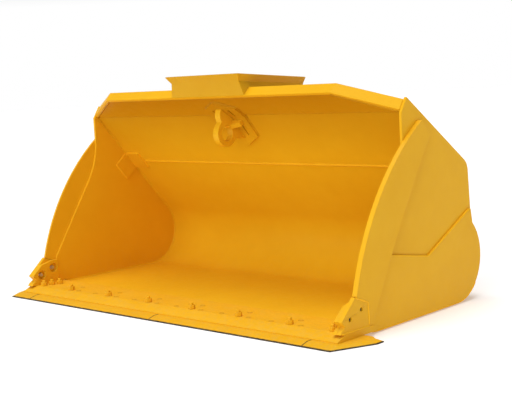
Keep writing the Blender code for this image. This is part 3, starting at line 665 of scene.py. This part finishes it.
def shoe_runs(side):
    x = side * (HALF_WIDTH + 0.0268)
    seam = [place(x, p) for p in ((-0.010, 0.2028), (0.1065, 0.1567), (0.1125, 0.020))]
    inner = side * 1.4265
    joint = [place(inner, (0.0866, 0.022)), place(inner, (0.0866, 0.176))]
    foot = [place(side * (HALF_WIDTH + 0.0282), (y, 0.0160)) for y in (-0.150, 0.112)]
    return [seam, joint, foot]


for side, word in ((-1, "left"), (1, "right")):
    thin, wide = side_runs(side)
    beads("bead_side_" + word, thin, 0.0055)
    beads("bead_wear_plate_" + word, wide, 0.0092)
    beads("bead_shoe_" + word, shoe_runs(side), 0.0062)
print("beads so far:", round(sum(bead_length), 1), "m")

# %% [markdown]
# On top, the cover plate meets the lip and the side plates, the hood stands on the cover, and
# the box is closed at the back. The cover runs from just behind the lip down to the rear, so
# its line is worked out from the lip, the same way the plate itself was laid out.

# %% Beads on top and behind
LIP_DIR = Vector((math.sqrt(0.5), math.sqrt(0.5)))
LIP_IN = Vector((math.sqrt(0.5), -math.sqrt(0.5)))
LIP_T, LIP_WIDTH, COVER_LENGTH = 0.024, 0.0775, 0.500
LIP_FOOT = Vector((0.588, 1.294))      # where the sloping ends of the lip stop
GUARD_OUTER, GUARD_INNER = 0.3435, 0.3290
cover_start = brow(BROW_LENGTH) + LIP_WIDTH * LIP_DIR + (LIP_T + 0.002) * LIP_IN
cover_end = LIP_FOOT + (LIP_T * 1.16 + 0.002) * LIP_IN
cover_dir = (cover_end - cover_start).normalized()
cover_up = Vector((-cover_dir.y, cover_dir.x))


def cover(d, h=0.0):
    return cover_start + d * cover_dir + h * cover_up


end_d = (cover_end - cover_start).length
top_runs = [[place(-1.054, cover(-0.001)), place(1.054, cover(-0.001))]]
for side in (-1, 1):
    top_runs.append([place(side * 1.056, cover(0.0)), place(side * SHELL_HALF, cover(end_d))])
    top_runs.append([place(side * SHELL_HALF, cover(end_d + 0.010)),
                     place(side * SHELL_HALF, cover(COVER_LENGTH - 0.004))])
beads("bead_top_cover", top_runs, 0.0058)

guard_runs = []
for side in (-1, 1):
    guard_runs.append([place(side * GUARD_OUTER, cover(0.004, 0.0010)),
                       place(side * GUARD_OUTER, cover(0.488, 0.0010))])
    guard_runs.append([place(side * GUARD_INNER, cover(0.012, 0.0010)),
                       place(side * GUARD_INNER, cover(0.488, 0.0010))])
beads("bead_spill_guard", guard_runs, 0.0052)

rear_line = cover(COVER_LENGTH - 0.006, -0.011)
foot_s = (rear_line - back(0.0)).dot(BACK_DIR)
foot = back(foot_s, -0.0206)
seam_behind = back(SEAM, -0.0200)
box_runs = [[place(-1.40, foot), place(1.40, foot)],
            [place(-1.40, seam_behind), place(-0.10, seam_behind)],
            [place(0.10, seam_behind), place(1.40, seam_behind)]]
beads("bead_box_rear", box_runs, 0.0064)
print("beads so far:", round(sum(bead_length), 1), "m")

# %% [markdown]
# Behind the bucket the hinge ears carry the whole load, so their fillets are the biggest. Each
# ear has one down both faces where it meets the shell.

# %% Beads at the hinges
LIFT_X = 0.560             # middle of a pair of lift ears
LIFT_FACES = (0.065, 0.105)
TILT_FACES = (0.055, 0.095)
OUTSIDE = 0.0206           # rear face of the shell, from the line of the bowl


def lift_ear_line(x):
    path = []
    for i in range(5, 15):
        angle = math.radians(-90.0 + 131.0 * i / 14)
        out = Vector((math.cos(angle), math.sin(angle)))
        path.append(place(x, HEEL + (HEEL_R + OUTSIDE) * out))
    path.append(place(x, back(0.325, -OUTSIDE)))
    return path


def tilt_ear_line(x):
    return [place(x, back(0.125, -OUTSIDE)), place(x, back(0.555, -OUTSIDE))]


inner, outer = LIFT_FACES
lift_runs, tilt_runs = [], []
for side in (-1, 1):
    for x in (LIFT_X - outer, LIFT_X - inner, LIFT_X + inner, LIFT_X + outer):
        lift_runs.append(lift_ear_line(side * x))
    for x in TILT_FACES:
        tilt_runs.append(tilt_ear_line(side * x))
beads("bead_lift_hinges", lift_runs, 0.0085)
beads("bead_tilt_hinge", tilt_runs, 0.0085)
print("all beads:", round(sum(bead_length), 1), "m")

# %% [markdown]
# ## Nuts and bolt ends
# The cutting edge is held from above by heavy hexagon nuts. A real nut is chamfered at 30
# degrees, which leaves a round face on top and a curved line where each flat meets it, and it
# stands on a thin washer face. A plain prism has none of that. Here the hexagon is turned like
# a lathe part with a ripple: the radius follows the flats, and wherever it would reach past the
# chamfer cone, the height drops to the cone. The bolt's end stands above with real threads.

# %% Chamfered nuts
FLATS = 0.041
NUT_H = 0.025


def hexagon(angle):
    """Reach of a hexagon with unit half-width across its flats."""
    return 1.0 / math.cos((angle + math.pi / 6) % (math.pi / 3) - math.pi / 6)


def nut_body(bm, bore):
    """A nut with its seat at zero: words in place of a radius follow the flats."""
    half = FLATS / 2
    face = half * 0.95
    steps = 48
    rings = [(bore, 0.0004), (half * 0.93, 0.0004), (half * 0.93, 0.0010), ("low", 0.0010),
             ("flat", 0.0022), ("flat", NUT_H * 0.55), ("top", NUT_H), (face, NUT_H),
             (bore + 0.0022, NUT_H), (bore, NUT_H - 0.0022)]
    loops = []
    for radius, height in rings:
        loop = []
        for i in range(steps):
            angle = 2 * math.pi * i / steps
            corner = half * hexagon(angle)
            rise = height
            reach = radius
            if radius == "low":
                reach = corner * 0.985
            elif radius == "flat":
                reach = corner
            elif radius == "top":
                reach = corner
                rise = NUT_H - max(0.0, corner - face) * math.tan(math.radians(30.0)) - 0.0002
            loop.append(Vector((reach * math.cos(angle), reach * math.sin(angle), rise)))
        loops.append(loop)
    skin(bm, loops + [loops[0]], cap=False)


print("nut across the corners:", round(1000 * FLATS / math.cos(math.pi / 6), 1), "mm")

# %% [markdown]
# A thread is a ridge that climbs its pitch in one turn. The bolt end is a turned body whose
# radius ripples with height and angle together, which gives a true helix, closed by a small
# chamfer and a slightly dished end with a centre mark.

# %% Threaded bolt ends
BOLT_R = 0.0130
PITCH = 0.0030
THREAD_DEPTH = 0.0016
END_CHAMFER = 0.0022
BOLT_RISE = 0.040          # end of the bolt above the base edge


def thread_end(bm, seat):
    steps, low, high = 32, 0.002, BOLT_RISE
    loops = []
    rows = 44
    for row in range(rows + 1):
        z = low + (high - low) * row / rows
        taper = min(1.0, (high - z) / END_CHAMFER)
        loop = []
        for i in range(steps):
            turn = i / steps
            wave = abs(((z / PITCH + turn) % 1.0) - 0.5) * 2.0
            reach = (BOLT_R - THREAD_DEPTH * wave) - END_CHAMFER * (1.0 - taper)
            angle = 2 * math.pi * turn
            loop.append(seat + Vector((reach * math.cos(angle), reach * math.sin(angle), z)))
        loops.append(loop)
    for radius, z in ((0.0085, high), (0.0045, high - 0.0004), (0.0012, high - 0.0011)):
        loops.append([seat + Vector((radius * math.cos(2 * math.pi * i / steps),
                                     radius * math.sin(2 * math.pi * i / steps), z))
                      for i in range(steps)])
    skin(bm, loops)


print("thread turns showing:", round((BOLT_RISE - NUT_H) / PITCH, 1))

# %% [markdown]
# The nuts go exactly where the CAD nuts are, read from each node's own box, and stand for them.
# Every nut ends its turn at its own angle, as a spanner leaves it; the bolts stay as CAD and
# carry the threaded tip as a separate piece.

# %% Set the nuts
def middle(name):
    low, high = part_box(name)
    return Vector(((low[0] + high[0]) / 2, (low[1] + high[1]) / 2, low[2]))


nut_names = sorted(name for name in nodes if name.startswith("edge_nut_"))
for name in nut_names:
    seat = middle(name)
    number = name.rsplit("_", 1)[1]
    bm = bmesh.new()
    nut_body(bm, BOLT_R + 0.0003)
    spin = Matrix.Rotation(math.radians(30.0 + hand.uniform(-9.0, 9.0)), 4, "Z")
    bmesh.ops.transform(bm, matrix=Matrix.Translation(seat) @ spin, verts=bm.verts)
    made = piece("chamfered_nut_" + number, bm, NUT_PAINT, smooth=24.0)
    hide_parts(name)
    bm = bmesh.new()
    thread_end(bm, seat)
    piece("bolt_thread_" + number, bm, NUT_PAINT, smooth=50.0)
print("nuts set:", len(nut_names))

# %% [markdown]
# The base edge is drilled for more bolts than are used. The spare holes are closed with flush
# plugs, which show as faint discs with a shallow ring: two between each pair of nuts, and one
# behind each nut. They are turned pieces, two millimetres proud, in a coat darkened as painted
# shade so that they read as dark marks.

# %% Plugs in the spare holes
EDGE_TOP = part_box("base_edge")[1][2]
BOLT_PITCH = 0.4156
FRONT_ROW, REAR_ROW = -0.090, 0.012
LAST_PLUG = 1.24           # no plug further out than this
plug_spots = []
for i in range(-3, 3):
    for part in (0.20, 0.65):
        x = (i + 0.5 + part) * BOLT_PITCH
        if abs(x) < LAST_PLUG:
            plug_spots.append((x, FRONT_ROW))
for i in range(6):
    plug_spots.append(((i - 2.5) * BOLT_PITCH, REAR_ROW))

PLUG = [(0.0180, -0.0010), (0.0180, 0.0012), (0.0172, 0.0022), (0.0150, 0.0024),
        (0.0142, 0.0004), (0.0118, 0.0004), (0.0110, 0.0018), (0.0060, 0.0022), (0.0012, 0.0022)]
bm = bmesh.new()
for x, y in plug_spots:
    turned(bm, PLUG, Vector((x, y - PROFILE_Y, EDGE_TOP)), Vector((0, 0, 1)), 28)
piece("hole_plugs", bm, PLUG_PAINT_SHADED, smooth=35.0)
print("plugs:", len(plug_spots))

# %% [markdown]
# ## Shaded joints
# The cutting edge comes in lengths, with an open joint between them. Over each joint lies a thin
# near-black strip, painted shade for the gap, that follows the bevel a hair proud of the steel,
# with a slightly wandering edge.

# %% Painted shade in the joints of the cutting edge
EDGE_PROFILE = [(-0.2872, 0.0012), (-0.2872, 0.0052), (-0.2560, 0.0146), (-0.2275, 0.0226),
                (-0.2000, 0.0227), (-0.1945, 0.0227)]
JOINTS = (-1.2875, 0.0, 1.2875)
SHADE_STRIP_HALF = 0.0030


# painted shade for one joint: a near-black strip along the bevel
def joint_shade_strip(bm, x):
    rings = []
    for y, z in EDGE_PROFILE:
        wide = SHADE_STRIP_HALF * hand.uniform(0.85, 1.15)
        rings.append([Vector((x - wide, y - PROFILE_Y, z + 0.0002)),
                      Vector((x - wide * 0.4, y - PROFILE_Y, z + 0.0008)),
                      Vector((x + wide * 0.4, y - PROFILE_Y, z + 0.0008)),
                      Vector((x + wide, y - PROFILE_Y, z + 0.0002)),
                      Vector((x, y - PROFILE_Y, max(0.0004, z - 0.0040)))])
    skin(bm, rings)


bm = bmesh.new()
for x in JOINTS:
    joint_shade_strip(bm, x)
piece("joint_shade_strip", bm, SHADE_BLACK, smooth=30.0)
print("joints filled:", len(JOINTS))

# %% [markdown]
# ## Shoe bolts
# Each shoe is held by two bolts whose heads sit in deep round pockets on the inside. The head
# is a hexagon on a flange, pressed with a small dish in the middle, and a hardened washer lies
# under it. These replace the plain CAD bolts; the part of each bolt deep in the outer hole is
# painted near black, as painted shade for the hole.

# %% Heads, flanges and washers
HEAD_HALF = 0.0132         # half the width of a shoe bolt's head across its flats


def six_sided(angle, radius, height):
    """A radius below zero stands for that share of the hexagon."""
    if radius < 0:
        return HEAD_HALF * hexagon(angle) * -radius, height
    return radius, height


def shoe_bolt(name):
    low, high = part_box(name)
    side = 1 if low[0] > 0 else -1
    y, z = (low[1] + high[1]) / 2, (low[2] + high[2]) / 2
    head_x, tip_x = (low[0], high[0]) if side > 0 else (high[0], low[0])
    start = Vector((head_x, y, z))
    reach = abs(tip_x - head_x)
    rings = [(0.0030, 0.0016), (0.0075, 0.0010), (0.0088, 0.0002), (0.0122, 0.0),
             (-0.975, 0.0010), (-1.0, 0.0022), (-1.0, 0.0085), (0.0158, 0.0090),
             (0.0168, 0.0098), (0.0168, 0.0112), (0.0120, 0.0113), (0.0118, reach - 0.0020),
             (0.0100, reach), (0.0020, reach - 0.0004)]
    bm = bmesh.new()
    turned(bm, rings, start, Vector((side, 0, 0)), 48, six_sided)
    made = piece(name.replace("corner_bolt", "shoe_bolt"), bm, BOLT_STEEL, 26.0)
    made.data.materials.append(SHADE_BLACK)
    sunk = HALF_WIDTH + 0.002              # from here outwards the bolt is in the outer hole
    # faces deep in the outer hole take the near-black painted shade
    for face in made.data.polygons:
        face.material_index = int(abs(face.center.x) > sunk)
    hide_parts(name)


shoe_names = sorted(name for name in nodes if name.startswith("corner_bolt_"))
for name in shoe_names:
    shoe_bolt(name)
print("shoe bolts:", shoe_names)

# %% [markdown]
# ## The floor, the light and the camera
# A machine part for a catalogue is set on a pale floor under soft light. The floor is one large
# sheet with a faint grain, and it glows a little, as paper lit from below does. The light is a
# sky that is white near the horizon, one broad lamp for a bank of diffusers overhead, and a
# wider one in front, a little to the right, that shines into the bowl.

# %% Floor
def pale_floor():
    w = Wiring("pale_floor_finish")
    grain = w.spread(w.noise(2.0, 3.0), 0.3, 0.7)
    w.join(w.blend(grain, (0.900, 0.900, 0.900), (0.930, 0.930, 0.930)),
           w.shader.inputs["Base Color"])
    w.shader.inputs["Roughness"].default_value = 0.85
    w.shader.inputs["Emission Color"].default_value = (1.0, 1.0, 1.0, 1.0)
    w.shader.inputs["Emission Strength"].default_value = 0.24
    return w.material


bm = bmesh.new()
bmesh.ops.create_grid(bm, x_segments=8, y_segments=8, size=60.0)
mesh = bpy.data.meshes.new("floor")
bm.to_mesh(mesh)
bm.free()
mesh.materials.append(pale_floor())
floor = bpy.data.objects.new("floor", mesh)
floor.location.z = -0.0008
bpy.context.scene.collection.objects.link(floor)
print("floor laid")

# %% [markdown]
# The sky is a world shader: the height of the direction picks its brightness from a ramp, so the
# backdrop near the horizon is white and the ceiling of the room is a soft grey.

# %% Sky and lamps
HORIZON = (0.075, (1.0, 1.0, 1.0, 1.0))
CEILING = (0.16, (0.16, 0.16, 0.17, 1.0))

world = bpy.data.worlds.new("studio_sky")
bpy.context.scene.world = world
world.use_nodes = True
tree = world.node_tree
ramp = tree.nodes.new("ShaderNodeValToRGB")
for stop, (height, colour) in zip(ramp.color_ramp.elements, (HORIZON, CEILING)):
    stop.position = height
    stop.color = colour
split = tree.nodes.new("ShaderNodeSeparateXYZ")
coords = tree.nodes.new("ShaderNodeTexCoord")
tree.links.new(coords.outputs["Generated"], split.inputs["Vector"])
tree.links.new(split.outputs["Z"], ramp.inputs["Fac"])
tree.links.new(ramp.outputs["Color"], tree.nodes["Background"].inputs["Color"])
tree.nodes["Background"].inputs["Strength"].default_value = 1.0


def lamp(name, towards, strength, spread):
    data = bpy.data.lights.new(name, "SUN")
    data.energy = strength
    data.angle = math.radians(spread)
    made = bpy.data.objects.new(name, data)
    made.rotation_euler = Vector(towards).to_track_quat("-Z", "Y").to_euler()
    bpy.context.scene.collection.objects.link(made)


lamp("overhead_bank", (0.05, 0.08, -0.99), 1.70, 40.0)
lamp("front_bank", (-0.20, 0.80, -0.56), 1.40, 60.0)
bpy.context.scene.view_settings.view_transform = "Standard"

# %% [markdown]
# The camera stands to the right of the bucket at about head height, seven metres off, and looks
# slightly down across the mouth. Its turn is written as three angles, which is how a
# photographer would set a tripod head.

# %% Camera
CAMERA_PLACE = (5.101, -5.332, 1.506)
LENS = 74.83
yaw, pitch, roll = (math.radians(v) for v in (42.95, -6.83, -2.92))
ahead = Vector((-math.sin(yaw) * math.cos(pitch), math.cos(yaw) * math.cos(pitch),
                math.sin(pitch)))
right = ahead.cross(Vector((0, 0, 1))).normalized()
above = right.cross(ahead)
turned_right = math.cos(roll) * right + math.sin(roll) * above
turned_above = -math.sin(roll) * right + math.cos(roll) * above
stand = Matrix((turned_right, turned_above, -ahead)).transposed().to_4x4()
stand.translation = CAMERA_PLACE
data = bpy.data.cameras.new("camera")
data.sensor_width = 36.0
data.lens = LENS
camera = bpy.data.objects.new("camera", data)
camera.matrix_world = stand
bpy.context.scene.collection.objects.link(camera)
bpy.context.scene.camera = camera
print("camera", round((Vector(CAMERA_PLACE) - Vector((0, 0, 0.7))).length, 2), "m away")

# %% [markdown]
# Last, the number of pieces made and their faces are printed.

# %% Count and finish
print("pieces made:", len(MADE), "faces:", sum(len(o.data.polygons) for o in MADE))
